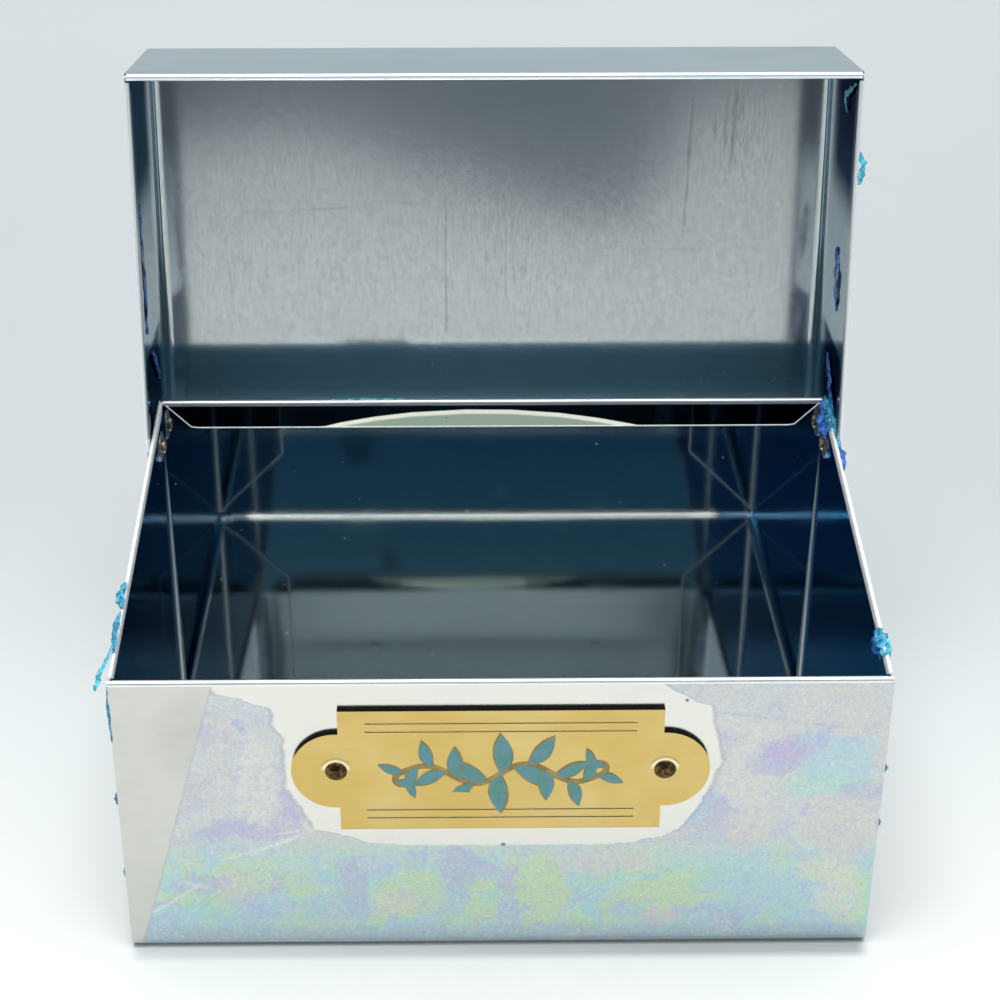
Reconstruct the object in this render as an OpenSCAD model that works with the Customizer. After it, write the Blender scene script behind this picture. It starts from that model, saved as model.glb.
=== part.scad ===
// Recipe card box: two folded and hemmed sheet-metal shells, hinged on side rivets,
// with a brass nameplate pinned to the front.
// X runs to the right, Y from the front to the back and Z up. The origin is the centre of
// the body's underside. The lid is drawn open, leaning back against its stop.

/* [Body] */
// Width over the side walls
body_width = 140; // [115:1:170]
// Depth over the front and back walls
body_depth = 83; // [68:1:102]
// Height of the front wall
front_height = 61; // [50:0.5:74]
// Height of the back wall
back_height = 75.5; // [62:0.5:91]

/* [Lid] */
// Depth of the front and side skirts
lid_depth = 35; // [29:0.5:43]
// How far the shut lid's skirt reaches below the front rim
lid_lap = 2.7; // [2:0.1:5]
// Angle from shut to the stop
open_angle = 98.4; // [92:0.1:110]
// Play between each side skirt and the body
side_gap = 0.2; // [0.15:0.05:0.4]
// Play between the front skirt and the body
front_gap = 0.12; // [0.1:0.01:0.3]
// Play between the back skirt and the body
back_gap = 0.3; // [0.25:0.05:0.6]
// Play left where the back skirt's rim rests on the back wall
stop_gap = 0.04; // [0.02:0.01:0.1]
// Radius on the free rear corners of the side skirts
skirt_corner_r = 8; // [4:0.5:12]

/* [Sheet metal] */
// Thickness of the sheet
sheet = 0.4; // [0.35:0.05:0.6]
// Outer radius of the bends round the floor and round the lid's panel
bend_r = 2; // [1.4:0.1:2.6]
// Outer radius of the upright corners
corner_r = 0.9; // [0.8:0.1:1.2]
// How far a welded tab is pressed into the wall behind it
weld_sink = 0.04; // [0.03:0.01:0.08]
// Slot inside the hems of the side walls
side_hem_gap = 0.1; // [0.06:0.02:0.3]
// Play between a welded tab and the hem that covers it
tab_play = 0.16; // [0.12:0.02:0.4]
// Depth of the hems on the body's front and back walls
end_hem_depth = 6; // [5:0.5:8]
// Depth of the other hems
hem_depth = 3; // [2.5:0.25:4]
// Width of the body's front corner tabs
front_tab = 17.5; // [12:0.5:25]
// Width of the body's back corner tabs
back_tab = 14; // [8:1:20]
// Width of the lid's corner tabs
lid_tab = 10; // [6:1:12]

/* [Hinge] */
// Distance of the rivets from the back wall's outer face
pivot_from_back = 5.8; // [5.4:0.1:7]
// Distance of the rivets below the side rim
pivot_drop = 7; // [6.8:0.1:9]
// Least distance that the side skirts reach below the rivets
pivot_reach = 8; // [6:0.5:9]
// Radius of the rivet's shank
rivet_r = 1.2; // [1:0.1:1.5]
// Radius of the rivet's domed head
rivet_head_r = 2.8; // [2.2:0.1:3.2]
// Height of the rivet's domed head
rivet_head_h = 1; // [0.8:0.1:1.4]
// Radius of the rivet's open end
rivet_bore_r = 0.65; // [0.5:0.05:0.7]
// Radius of the bead that the rivet's open end is rolled into
rivet_bead_r = 0.4; // [0.3:0.05:0.5]
// Radius of the washer under the rolled end
washer_r = 3.2; // [2.6:0.1:3.6]
// Thickness of the washer
washer_t = 0.5; // [0.4:0.05:0.7]
// Radial play round rivets and pins
pin_play = 0.05; // [0.03:0.01:0.09]

/* [Nameplate] */
// Width of the plate's straight middle part
plate_width = 58.6; // [48:0.2:70]
// Height of the plate's straight middle part
plate_height = 26.3; // [21:0.1:30]
// Thickness of the plate
plate_t = 1; // [0.8:0.05:1.4]
// Radius of the round ears
ear_r = 8.15; // [6.5:0.05:9.8]
// Distance of the plate below the rim of the shut lid
plate_below_lid = 3.05; // [2:0.05:4]
// Distance of each pin from the middle
pin_x = 29.8; // [26:0.1:36]
// Radius of a pin's shank
pin_r = 0.9; // [0.7:0.05:1.1]
// Radius of a pin's domed head
pin_head_r = 2; // [1.6:0.05:2.4]
// Height of a pin's domed head
pin_head_h = 1; // [0.8:0.05:1.3]
// Half length of the engraved lines
line_half = 24.4; // [19:0.1:25]
// Width of an engraved line
line_w = 0.35; // [0.25:0.05:0.5]
// Depth of an engraved line
line_deep = 0.15; // [0.1:0.01:0.2]

/* [Hidden] */
$fn = 48;

// the slot inside the hems of the end walls holds the tabs
end_hem_gap = sheet - weld_sink + tab_play;
// hems: outer radius of the fold, which is half the finished thickness
side_fold = sheet + side_hem_gap / 2;
end_fold = sheet + end_hem_gap / 2;
side_hem = 2 * side_fold;
end_hem = 2 * end_fold;
// a hem's outer leg reaches this far below the fold, and overlaps the wall by half of it
hem_leg = 1;
// room that a hem's mitred ends leave at each corner
hem_corner = 1.5;
// gap between the end of a side hem and the hem of the end wall
hem_end_gap = 0.3;
// the front and back folds stop this far short of the sides
body_fold_inset = 0.2;
lid_fold_inset = 0.5;
// slit that frees each end of a side bend from the end bend beside it
corner_slit = 0.2;
// a tab ends this far under the fold that covers it
tab_headroom = 0.15;
// height at which a tab's slanted edge would meet the side wall
tab_rise = 1.5;
// distance from an end wall's outer face to the start of the flat side wall
corner_in = sheet - weld_sink + corner_r;

// the side rims slope from the front wall up to the back wall
rim_slope = atan((back_height - front_height) / body_depth);
function rim_z(y) = front_height + y * tan(rim_slope);

// hinge line, with y counted from the front wall's outer face
pivot_y = body_depth - pivot_from_back;
pivot_z = rim_z(pivot_y) - pivot_drop;

// the shut lid
lid_width = body_width + 2 * (side_gap + side_hem);
lid_front_y = -front_gap - end_hem;
lid_back_y = body_depth + back_gap + end_hem;
lid_run = lid_back_y - lid_front_y;
// the skirts lap over the front rim, and always reach past the rivets
lid_rim_z = min(front_height - lid_lap, pivot_z - pivot_reach);
lid_top_z = lid_rim_z + lid_depth;
// middle of the back skirt's rim fold from the pivot; turned by the open angle, it
// has to lie one fold radius behind the back wall
stop_arm_y = back_gap + pivot_from_back + end_fold;
stop_arm_z = (pivot_from_back + end_fold + stop_gap - stop_arm_y * cos(open_angle))
             / sin(open_angle);
back_skirt = lid_top_z - (pivot_z + stop_arm_z - end_fold);

// rivet, measured along its axis from the side wall's outer face
rivet_inner = sheet + washer_t;
rivet_outer = side_gap + side_hem + pin_play;
rivet_bore_deep = 1.6;
// height of the nameplate's middle
plate_z = lid_rim_z - plate_below_lid - plate_height / 2;
// engraved lines, measured from the plate's upper and lower edges
line_steps = [2.65, 4.45];
// inner end of a nameplate pin
pin_tail_r = 1.6;
pin_tail_h = 0.5;

steel = [0.78, 0.8, 0.82];
brass = [0.86, 0.74, 0.4];
bronze = [0.42, 0.33, 0.2];

// places what is drawn from the front wall backwards
module from_front() {
    translate([0, -body_depth / 2, 0]) children();
}

// extrudes an outline of depth and height from x0 to x1
module along_x(x0, x1) {
    translate([x0, 0, 0]) rotate([90, 0, 90]) linear_extrude(x1 - x0) children();
}

// extrudes an outline of width and height from y0 to y1
module along_y(y0, y1) {
    translate([0, y1, 0]) rotate([90, 0, 0]) linear_extrude(y1 - y0) children();
}

// cap of a ball on a flat base at height z, as half of its section
module dome_section(base_r, h, z) {
    ball_r = (base_r * base_r + h * h) / (2 * h);
    intersection() {
        translate([0, z + h - ball_r]) circle(r = ball_r);
        translate([0, z]) square([base_r, h]);
    }
}

// section of a bend, with the two outer faces on the axes
module bend_section() {
    intersection() {
        square(bend_r);
        translate([bend_r, bend_r]) difference() {
            circle(r = bend_r);
            circle(r = bend_r - sheet);
        }
    }
}

// section of the folded edge of a hem and its outer leg, the outer face and rim on the axes
module fold_section(fold) {
    translate([fold, -fold]) intersection() {
        difference() {
            circle(r = fold);
            circle(r = fold - sheet);
        }
        translate([-fold, 0]) square([2 * fold, fold]);
    }
    translate([0, -fold - hem_leg]) square([sheet, hem_leg]);
}

// inner leaf of a hem, from a to b under the rim line, with mitred ends
module leaf_outline(a, b, fold, deep) {
    cut = deep - fold;
    polygon([[a, -fold], [a + cut, -deep], [b - cut, -deep], [b, -fold]]);
}

// flat base of a shell and the four bends round it; the end bends run the full width
module base_and_bends(w, d) {
    translate([bend_r - w / 2, bend_r, 0]) cube([w - 2 * bend_r, d - 2 * bend_r, sheet]);
    for (side = [0, 1]) {
        mirror([side, 0, 0]) translate([-w / 2, 0, 0])
            along_y(bend_r + corner_slit, d - bend_r - corner_slit) bend_section();
        translate([0, side * d, 0]) mirror([0, side, 0]) along_x(-w / 2, w / 2)
            bend_section();
    }
}

// front or back wall, with its outer face at y = 0 and its hem folded inside
module end_wall(w, h, deep, fold_inset) {
    translate([-w / 2, 0, bend_r]) cube([w, sheet, h - bend_r - end_fold - hem_leg / 2]);
    along_x(fold_inset - w / 2, w / 2 - fold_inset) translate([0, h]) fold_section(end_fold);
    translate([0, end_hem, h]) rotate([90, 0, 0]) linear_extrude(sheet)
        leaf_outline(hem_corner - w / 2, w / 2 - hem_corner, end_fold, deep);
}

// hem of a side wall along the rim from s0 to s1, with its outer face at x = 0
module side_rim(s0, s1) {
    along_y(s0, s1) fold_section(side_fold);
    translate([side_hem - sheet, 0, 0]) rotate([90, 0, 90]) linear_extrude(sheet)
        leaf_outline(s0, s1, side_fold, hem_depth);
}

// upright corner: the side wall turns inwards and ends in a tab welded to the end wall
module corner_tab(tab, h) {
    top = h - end_fold - tab_headroom;
    low = corner_r + tab_rise;
    skin = sheet - weld_sink;
    translate([0, skin, low]) linear_extrude(top - low) intersection() {
        square(corner_r);
        translate([corner_r, corner_r]) difference() {
            circle(r = corner_r);
            circle(r = corner_r - sheet);
        }
    }
    translate([0, skin + sheet, 0]) rotate([90, 0, 0]) linear_extrude(sheet)
        polygon([[corner_r, low], [tab, tab + tab_rise], [tab, top], [corner_r, top]]);
}

// repeats what is drawn from the left side wall's outer face on the right
module both_sides(w) {
    for (side = [0, 1]) mirror([side, 0, 0]) translate([-w / 2, 0, 0]) children();
}

module four_corners(w, d, tab_a, h_a, tab_b, h_b) {
    both_sides(w) {
        corner_tab(tab_a, h_a);
        translate([0, d, 0]) mirror([0, 1, 0]) corner_tab(tab_b, h_b);
    }
}

// hole through both side walls on the hinge line
module pivot_holes(w) {
    translate([-w, pivot_y, pivot_z]) rotate([0, 90, 0])
        cylinder(r = rivet_r + pin_play, h = 2 * w);
}

module body_side_wall() {
    drop = (side_fold + hem_leg / 2) / cos(rim_slope);
    y1 = body_depth - corner_in;
    rotate([90, 0, 90]) linear_extrude(sheet)
        polygon([[corner_in, bend_r], [y1, bend_r], [y1, rim_z(y1) - drop],
                 [corner_in, rim_z(corner_in) - drop]]);
    translate([0, 0, front_height]) rotate([rim_slope, 0, 0])
        side_rim(end_hem + hem_end_gap,
                 (body_depth - end_hem - hem_end_gap) / cos(rim_slope));
}

module body_shell() {
    color(steel) from_front() difference() {
        union() {
            base_and_bends(body_width, body_depth);
            end_wall(body_width, front_height, end_hem_depth, body_fold_inset);
            translate([0, body_depth, 0]) mirror([0, 1, 0])
                end_wall(body_width, back_height, end_hem_depth, body_fold_inset);
            both_sides(body_width) body_side_wall();
            four_corners(body_width, body_depth, front_tab, front_height,
                         back_tab, back_height);
        }
        pivot_holes(body_width);
        for (side = [-1, 1]) translate([side * pin_x, -sheet, plate_z])
            rotate([-90, 0, 0]) cylinder(r = pin_r + pin_play, h = 3 * sheet);
    }
}

// side skirt of the lid, drawn upside down with its rim at the lid's depth
module lid_side_wall() {
    top = lid_depth - side_fold - hem_leg / 2;
    y1 = lid_run - corner_in;
    hem_end = y1 - skirt_corner_r;
    rotate([90, 0, 90]) linear_extrude(sheet) {
        translate([corner_in, bend_r]) square([y1 - corner_in, top - skirt_corner_r - bend_r]);
        translate([corner_in, bend_r]) square([hem_end - corner_in, top - bend_r]);
        translate([hem_end, top - skirt_corner_r]) circle(r = skirt_corner_r);
    }
    translate([0, 0, lid_depth]) side_rim(end_hem + hem_end_gap, hem_end);
}

module shut_lid() {
    difference() {
        translate([0, lid_front_y, lid_top_z]) mirror([0, 0, 1]) {
            base_and_bends(lid_width, lid_run);
            end_wall(lid_width, lid_depth, hem_depth, lid_fold_inset);
            translate([0, lid_run, 0]) mirror([0, 1, 0])
                end_wall(lid_width, back_skirt, hem_depth, lid_fold_inset);
            both_sides(lid_width) lid_side_wall();
            four_corners(lid_width, lid_run, lid_tab, lid_depth, lid_tab, back_skirt);
        }
        pivot_holes(lid_width);
    }
}

module lid_shell() {
    color(steel) from_front() translate([0, pivot_y, pivot_z]) rotate([-open_angle, 0, 0])
        translate([0, -pivot_y, -pivot_z]) shut_lid();
}

// puts a turned piece on the hinge line, its axis pointing out of the right or left side
module at_pivot(side) {
    from_front() translate([side * body_width / 2, pivot_y, pivot_z])
        rotate([0, side * 90, 0]) children();
}

module pivot_rivet(side) {
    tail = rivet_inner + 2 * rivet_bead_r;
    color(brass) at_pivot(side) rotate_extrude() {
        dome_section(rivet_head_r, rivet_head_h, rivet_outer);
        difference() {
            translate([0, rivet_bead_r - tail]) square([rivet_r, tail + rivet_outer - rivet_bead_r]);
            translate([0, -tail]) square([rivet_bore_r, rivet_bore_deep]);
        }
        translate([rivet_bore_r + rivet_bead_r, rivet_bead_r - tail - pin_play / 2])
            circle(r = rivet_bead_r);
    }
}

module pivot_rivet_left() { pivot_rivet(-1); }

module pivot_rivet_right() { pivot_rivet(1); }

module rivet_washer(side) {
    color(steel) at_pivot(side) translate([0, 0, -rivet_inner]) difference() {
        cylinder(r = washer_r, h = washer_t);
        translate([0, 0, -washer_t]) cylinder(r = rivet_r + pin_play, h = 3 * washer_t);
    }
}

module rivet_washer_left() { rivet_washer(-1); }

module rivet_washer_right() { rivet_washer(1); }

// puts a piece on the front wall at the height of the plate, its axis pointing forwards
module at_plate(x) {
    from_front() translate([x, 0, plate_z]) rotate([90, 0, 0]) children();
}

module nameplate() {
    color(brass) at_plate(0) difference() {
        linear_extrude(plate_t) difference() {
            union() {
                square([plate_width, plate_height], center = true);
                for (side = [-1, 1]) translate([side * pin_x, 0]) circle(r = ear_r);
            }
            for (side = [-1, 1]) translate([side * pin_x, 0]) circle(r = pin_r + pin_play);
        }
        for (side = [-1, 1], step = line_steps)
            translate([-line_half, side * (plate_height / 2 - step) - line_w / 2,
                       plate_t - line_deep]) cube([2 * line_half, line_w, plate_t]);
    }
}

module nameplate_pin(side) {
    color(bronze) at_plate(side * pin_x) rotate_extrude() {
        dome_section(pin_head_r, pin_head_h, plate_t);
        translate([0, -sheet]) square([pin_r, sheet + plate_t]);
        translate([0, -sheet - pin_tail_h]) square([pin_tail_r, pin_tail_h]);
    }
}

module nameplate_pin_left() { nameplate_pin(-1); }

module nameplate_pin_right() { nameplate_pin(1); }

body_shell();
lid_shell();
pivot_rivet_left();
pivot_rivet_right();
rivet_washer_left();
rivet_washer_right();
nameplate();
nameplate_pin_left();
nameplate_pin_right();
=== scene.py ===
import math
import bmesh
import bpy
from mathutils import Euler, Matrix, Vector
from mathutils import noise as mathNoise


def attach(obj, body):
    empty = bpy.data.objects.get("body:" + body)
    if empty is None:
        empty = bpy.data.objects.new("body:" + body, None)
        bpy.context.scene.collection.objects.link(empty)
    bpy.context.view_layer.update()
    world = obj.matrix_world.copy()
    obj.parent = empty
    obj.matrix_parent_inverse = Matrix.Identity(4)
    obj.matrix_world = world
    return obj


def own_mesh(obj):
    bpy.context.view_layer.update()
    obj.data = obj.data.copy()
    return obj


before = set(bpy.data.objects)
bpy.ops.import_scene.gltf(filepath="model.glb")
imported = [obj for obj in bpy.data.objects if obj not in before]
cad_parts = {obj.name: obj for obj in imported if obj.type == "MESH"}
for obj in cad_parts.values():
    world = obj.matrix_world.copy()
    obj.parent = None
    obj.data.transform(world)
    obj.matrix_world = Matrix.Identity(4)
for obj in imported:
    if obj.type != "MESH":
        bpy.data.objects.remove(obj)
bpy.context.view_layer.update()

scene = bpy.context.scene
millimetre = 0.001
print("frame loaded:", len(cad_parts), "pieces of the box")


def newPiece(name, data):
    piece = bpy.data.objects.new(name, data)
    scene.collection.objects.link(piece)
    return piece


# the photo's camera
viewpoint = {
    "place": (-0.007751, -0.341492, 0.267068),
    "lookDown": 28.366,  # degrees below level
    "turnRight": 0.593,
    "lens": 73.557,
    "shiftAcross": 0.025,
    "shiftUp": -0.038,
}


def placeCamera():
    camera = newPiece("camera", bpy.data.cameras.new("camera"))
    camera.location = viewpoint["place"]
    camera.rotation_euler = Euler((math.radians(90 - viewpoint["lookDown"]), 0,
                                   math.radians(-viewpoint["turnRight"])))
    camera.data.lens = viewpoint["lens"]
    camera.data.sensor_width = 36
    camera.data.shift_x = viewpoint["shiftAcross"]
    camera.data.shift_y = viewpoint["shiftUp"]
    camera.data.clip_start = 0.01
    camera.data.dof.use_dof = False
    scene.camera = camera


placeCamera()


class Wire:
    # one output of a node, so that node sums read as plain sums
    def __init__(self, tree, socket=None):
        self.tree = tree
        self.socket = socket

    def add(self, kind, settings=None, values=None, out=0):
        made = self.tree.nodes.new(kind)
        for name, value in (settings or {}).items():
            if name == "stops":
                ramp = made.color_ramp
                while len(ramp.elements) < len(value):
                    ramp.elements.new(1)
                for element, (place, colour) in zip(ramp.elements, value):
                    element.position = place
                    element.color = (*colour, 1)
            else:
                setattr(made, name, value)
        for name, value in (values or {}).items():
            if isinstance(value, Wire):
                self.tree.links.new(value.socket, made.inputs[name])
            else:
                made.inputs[name].default_value = value
        return Wire(self.tree, made.outputs[out])

    def sum(self, operation, *terms):
        return self.add("ShaderNodeMath", {"operation": operation}, dict(enumerate(terms)))

    def __add__(self, other): return self.sum("ADD", self, other)
    def __radd__(self, other): return self.sum("ADD", other, self)
    def __sub__(self, other): return self.sum("SUBTRACT", self, other)
    def __rsub__(self, other): return self.sum("SUBTRACT", other, self)
    def __mul__(self, other): return self.sum("MULTIPLY", self, other)
    def __rmul__(self, other): return self.sum("MULTIPLY", other, self)
    def __truediv__(self, other): return self.sum("DIVIDE", self, other)
    def __pow__(self, other): return self.sum("POWER", self, other)
    def __abs__(self): return self.sum("ABSOLUTE", self)

    def atLeast(self, other): return self.sum("MAXIMUM", self, other)

    def rise(self, low, high):
        # 0 below low, 1 above high, smooth between; low may be the larger one
        return self.add("ShaderNodeMapRange", {"interpolation_type": "SMOOTHSTEP"},
                        {"Value": self, "From Min": low, "From Max": high,
                         "To Min": 0, "To Max": 1})

    def band(self, low, high, soft):
        return self.rise(low - soft, low + soft) * self.rise(high + soft, high - soft)


def blend(amount, under, over, how="MIX"):
    # colour over colour; a plain tuple stands for a fixed colour
    link = next(w for w in (amount, under, over) if isinstance(w, Wire))
    under, over = ((*c, 1) if isinstance(c, tuple) else c for c in (under, over))
    return link.add("ShaderNodeMix", {"data_type": "RGBA", "blend_type": how},
                    {0: amount, 6: under, 7: over}, out=2)


def grey(value):
    return (value, value, value)


box = {
    "halfWide": 70,
    "halfDeep": 41.5,
    "rimFront": 61,
    "rimSlope": 0.1747,
    # painted highlight: how high the bright line painted on the hem at the back climbs, from left
    # to right
    "buckle": [(-70, 60), (-41, 60), (-37, 69.3), (-32, 70.6), (-25, 71.9), (-17, 72.9),
               (-6, 73.5), (4, 73.4), (14, 72.6), (22, 71.4), (29, 70), (32.5, 69.2),
               (35, 60), (70, 60)],
    # how wide the painted highlight on the upright corners is, by height
    "foldOpen": [(0, 1.0), (30, 0.7), (55, 0.4), (72, 0.1)],
}


def coats(base, *layers):
    # colours one over another, each with how much of it shows
    for amount, tint in layers:
        base = blend(amount, base, tint)
    return base


def curve(wire, points):
    # a broken line through (place, value) pairs
    low, high = points[0][0], points[-1][0]
    least = min(value for place, value in points)
    span = max(value for place, value in points) - least
    stops = [((place - low) / (high - low), ((value - least) / span,) * 3)
             for place, value in points]
    return wire.add("ShaderNodeValToRGB", {"stops": stops},
                    {"Fac": (wire - low) / (high - low)}) * span + least


def noise(place, scale, detail=2, roughness=0.5, distortion=0):
    # scale in features per metre
    return place.add("ShaderNodeTexNoise", None,
                     {"Vector": place, "Scale": scale, "Detail": detail,
                      "Roughness": roughness, "Distortion": distortion})


def stretched(place, across, deep, high, shift=(0, 0, 0)):
    return place.add("ShaderNodeMapping", None,
                     {"Vector": place, "Location": shift, "Scale": (across, deep, high)})


def parts(place):
    split = place.add("ShaderNodeSeparateXYZ", None, {0: place})
    return [Wire(place.tree, out) for out in split.socket.node.outputs]


def newMaterial(name):
    # returns the material, its shader and the places on the piece, in metres
    material = bpy.data.materials.new(name)
    material.use_nodes = True
    tree = material.node_tree
    shader = tree.nodes["Principled BSDF"]
    return material, shader, Wire(tree).add("ShaderNodeTexCoord", out="Object")


def fineMaterial(name):
    # the same, with places in millimetres
    material, shader, place = newMaterial(name)
    return material, shader, place.add("ShaderNodeVectorMath", {"operation": "SCALE"},
                                       {0: place, "Scale": 1 / millimetre})


def feed(shader, **values):
    # sets or links the shader's own sockets, named without spaces
    names = {s.name.replace(" ", ""): s for s in shader.inputs}
    for name, value in values.items():
        if isinstance(value, Wire):
            value.tree.links.new(value.socket, names[name])
        elif isinstance(value, tuple):
            names[name].default_value = (*value[:3], 1)
        else:
            names[name].default_value = value


def layered(amount, under, over):
    # one finish over another; each is a shader's output
    return amount.add("ShaderNodeMixShader", None, {0: amount, 1: under, 2: over})


def showSurface(surface):
    # what the material shows in the end
    outlet = surface.tree.nodes["Material Output"].inputs["Surface"]
    surface.tree.links.new(surface.socket, outlet)


def cover(node, material):
    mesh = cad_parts[node].data
    mesh.materials.clear()
    mesh.materials.append(material)


studio = {
    "floorColour": (0.81, 0.835, 0.825),
    # painted shade: the table's colour behind the box is painted darker
    "floorBehind": (0.52, 0.55, 0.57),
    "floorRadius": 8.0,
    "floorFade": 0.3,
    "floorDrop": -0.0002,
    "floorSteps": 96,
    "backdrop": (0.66, 0.73, 0.74),
    "sky": (0.56, 0.60, 0.61),
    "zenith": (1.45, 1.46, 1.44),
    # the dark side of the room from level to overhead, by the sine of the height
    "dark": [(0.05, (0.012, 0.045, 0.085)), (0.44, (0.022, 0.095, 0.22)),
             (0.50, (0.065, 0.22, 0.33)), (0.535, (0.15, 0.30, 0.37)),
             (0.575, (0.10, 0.21, 0.27)), (0.64, (0.008, 0.03, 0.07))],
    "darkHeight": 24,  # degrees above level
    "darkInner": 26,
    "darkOuter": 38,
    "windowColour": (1.45, 1.42, 1.34),
    "windowHeight": 49,
    "windowWidth": 9,
    "windowTall": 0.075,
    "lampPower": 4.2,
}
# how far the table reaches towards the viewer, in metres, from left to right
tableEdge = [(-0.30, 2.7), (-0.20, 2.7), (-0.166, 2.5), (-0.10, 3.0), (-0.05, 2.2), (-0.005, 1.6),
             (0.05, 1.3), (0.091, 1.15), (0.126, 1.15), (0.142, 7.5), (0.30, 7.5)]


def makeWorld():
    world = bpy.data.worlds.new("studio")
    world.use_nodes = True
    scene.world = world
    tree = world.node_tree
    tree.nodes.clear()
    output = tree.nodes.new("ShaderNodeOutputWorld")
    toward = Wire(tree).add("ShaderNodeTexCoord", out="Generated")
    across, deep, high = parts(toward)
    lift = math.radians(studio["darkHeight"])
    facing = high * math.sin(lift) - deep * math.cos(lift)
    shade = facing.rise(math.cos(math.radians(studio["darkOuter"])),
                        math.cos(math.radians(studio["darkInner"])))
    light = blend(high.rise(0.5, 0.88), studio["sky"], studio["zenith"])
    dark = high.add("ShaderNodeValToRGB", {"stops": studio["dark"]}, {"Fac": high})
    seen = blend(shade, light, dark)
    # one bright window high in the dark side of the room
    up = math.radians(studio["windowHeight"])
    aside = across / math.tan(math.radians(studio["windowWidth"])) / math.cos(up)
    above = (high - math.sin(up)) / studio["windowTall"]
    window = (aside * aside + above * above).rise(1.3, 0.7) * deep.rise(0, -0.1)
    seen = blend(window, seen, studio["windowColour"])
    straight = toward.add("ShaderNodeLightPath", out="Is Camera Ray")
    colour = blend(straight, seen, studio["backdrop"])
    background = colour.add("ShaderNodeBackground", None, {"Color": colour, "Strength": 1})
    tree.links.new(background.socket, output.inputs["Surface"])


def makeFloor():
    mesh = bpy.data.meshes.new("floor")
    steps = studio["floorSteps"]
    rim = [(studio["floorRadius"] * math.cos(math.tau * i / steps),
            studio["floorRadius"] * math.sin(math.tau * i / steps), studio["floorDrop"])
           for i in range(steps)]
    mesh.from_pydata(rim, [], [tuple(range(steps))])
    floor = newPiece("floor", mesh)
    material, shader, place = newMaterial("paleTable")
    mottle = noise(place, 9, 3)
    x, y = parts(place)[:2]
    # painted shade: the table is painted darker towards the back, and darker again far behind
    tint = blend(y.rise(-0.08, 0.16), studio["floorColour"], studio["floorBehind"])
    tint = blend(y.rise(0.18, 0.7), tint, (0.62, 0.66, 0.67))
    tint = blend(mottle * 0.06, tint, (1, 1, 1))
    # painted shadow: a dark strip is painted on the table along the foot of the box's front,
    # stronger to the right
    contactShadow = y.band(-0.0445, -0.0405, 0.0014) * abs(x).rise(0.0712, 0.068)
    tint = blend(contactShadow * (x.rise(-0.08, 0.05) * 0.3 + 0.25), tint, (0.14, 0.17, 0.21))
    feed(shader, BaseColor=tint, Roughness=0.55, SpecularIORLevel=0.3)
    # the table ends softly: round behind and beside, and in a wavy front edge
    reach = curve(x / (0 - y).atLeast(0.05), tableEdge)
    sides = (x * x + y * y) ** 0.5
    beyond = ((0 - y) - reach).rise(-studio["floorFade"] / 2, studio["floorFade"] / 2)
    gone = beyond.atLeast(sides.rise(studio["floorRadius"] - 1, studio["floorRadius"] - 0.1))
    clear = place.add("ShaderNodeBsdfTransparent")
    showSurface(layered(gone, Wire(place.tree, shader.outputs[0]), clear))
    mesh.materials.append(material)


def addSoftLight(name, place, target, size, power):
    data = bpy.data.lights.new(name, "AREA")
    data.shape = "RECTANGLE"
    data.size, data.size_y = size
    data.energy = power
    light = newPiece(name, data)
    light.location = place
    light.rotation_euler = (Vector(target) - Vector(place)).to_track_quat("-Z", "Y").to_euler()


makeWorld()
makeFloor()
addSoftLight("overheadLight", (-0.05, -0.2, 0.95), (0, 0, 0), (0.5, 0.35), studio["lampPower"])
scene.view_settings.view_transform = "Standard"
scene.cycles.max_bounces = 16
scene.cycles.glossy_bounces = 14
print("camera, table and light ready")


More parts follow.
